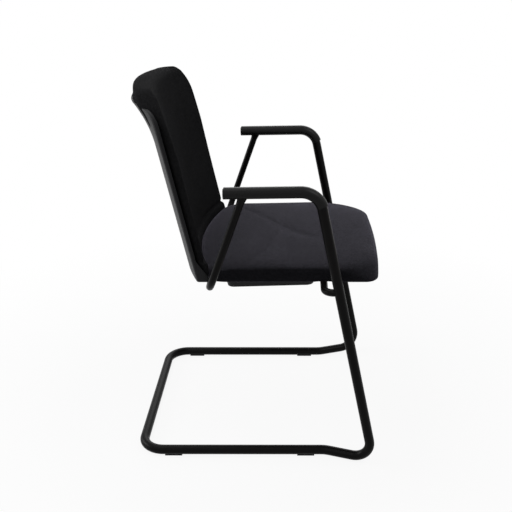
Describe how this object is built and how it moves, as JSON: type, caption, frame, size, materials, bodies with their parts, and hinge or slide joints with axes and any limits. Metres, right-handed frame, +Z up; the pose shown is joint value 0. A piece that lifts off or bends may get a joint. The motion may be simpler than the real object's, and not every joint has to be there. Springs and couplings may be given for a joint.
{
  "type": "cantilever visitor chair",
  "caption": "Cantilever visitor's chair with arms: a bent tube frame, a padded seat and a padded back in a moulded shell.",
  "frame": {"origin": "on the floor, in the middle of the bounding box", "axes": "+Z up; the chair faces -Y, so a sitter looks along -Y; +X is the sitter's left"},
  "size_m": [0.5824, 0.561, 0.8385],
  "materials": {
    "frame_paint": "semi-gloss powder coat in a warm black",
    "pad_moulding": "smooth moulded polypropylene, slightly shiny",
    "glide_moulding": "moulded nylon",
    "plywood": "raw moulded beech plywood",
    "seat_cloth": "dark grey upholstery cloth with a fine weave",
    "back_cloth": "dark grey upholstery cloth with a fine weave",
    "shell_moulding": "fine-grained moulded polypropylene",
    "zinc": "zinc-plated steel"
  },
  "bodies": {
    "root": {"arm_end_plug_left": "pad_moulding", "arm_end_plug_right": "pad_moulding", "arm_pad_left": "pad_moulding", "arm_pad_right": "pad_moulding", "back_board": "plywood", "back_bolts": "zinc", "back_cushion": "back_cloth", "back_shell": "shell_moulding", "back_tee_nuts": "zinc", "back_upright_left": "frame_paint", "back_upright_right": "frame_paint", "frame_tube": "frame_paint", "front_cross_tube": "frame_paint", "glide_front_left": "glide_moulding", "glide_front_right": "glide_moulding", "glide_rear_left": "glide_moulding", "glide_rear_right": "glide_moulding", "rear_support_tube": "frame_paint", "seat_board": "plywood", "seat_cushion": "seat_cloth", "seat_lug_front_left": "frame_paint", "seat_lug_front_right": "frame_paint", "seat_lug_rear_left": "frame_paint", "seat_lug_rear_right": "frame_paint", "seat_lug_screws": "zinc", "seat_tee_nuts": "zinc", "seat_under_cover": "shell_moulding", "strut_collar_left": "frame_paint", "strut_collar_right": "frame_paint", "under_cover_screws": "zinc"}
  },
  "joints": []
}
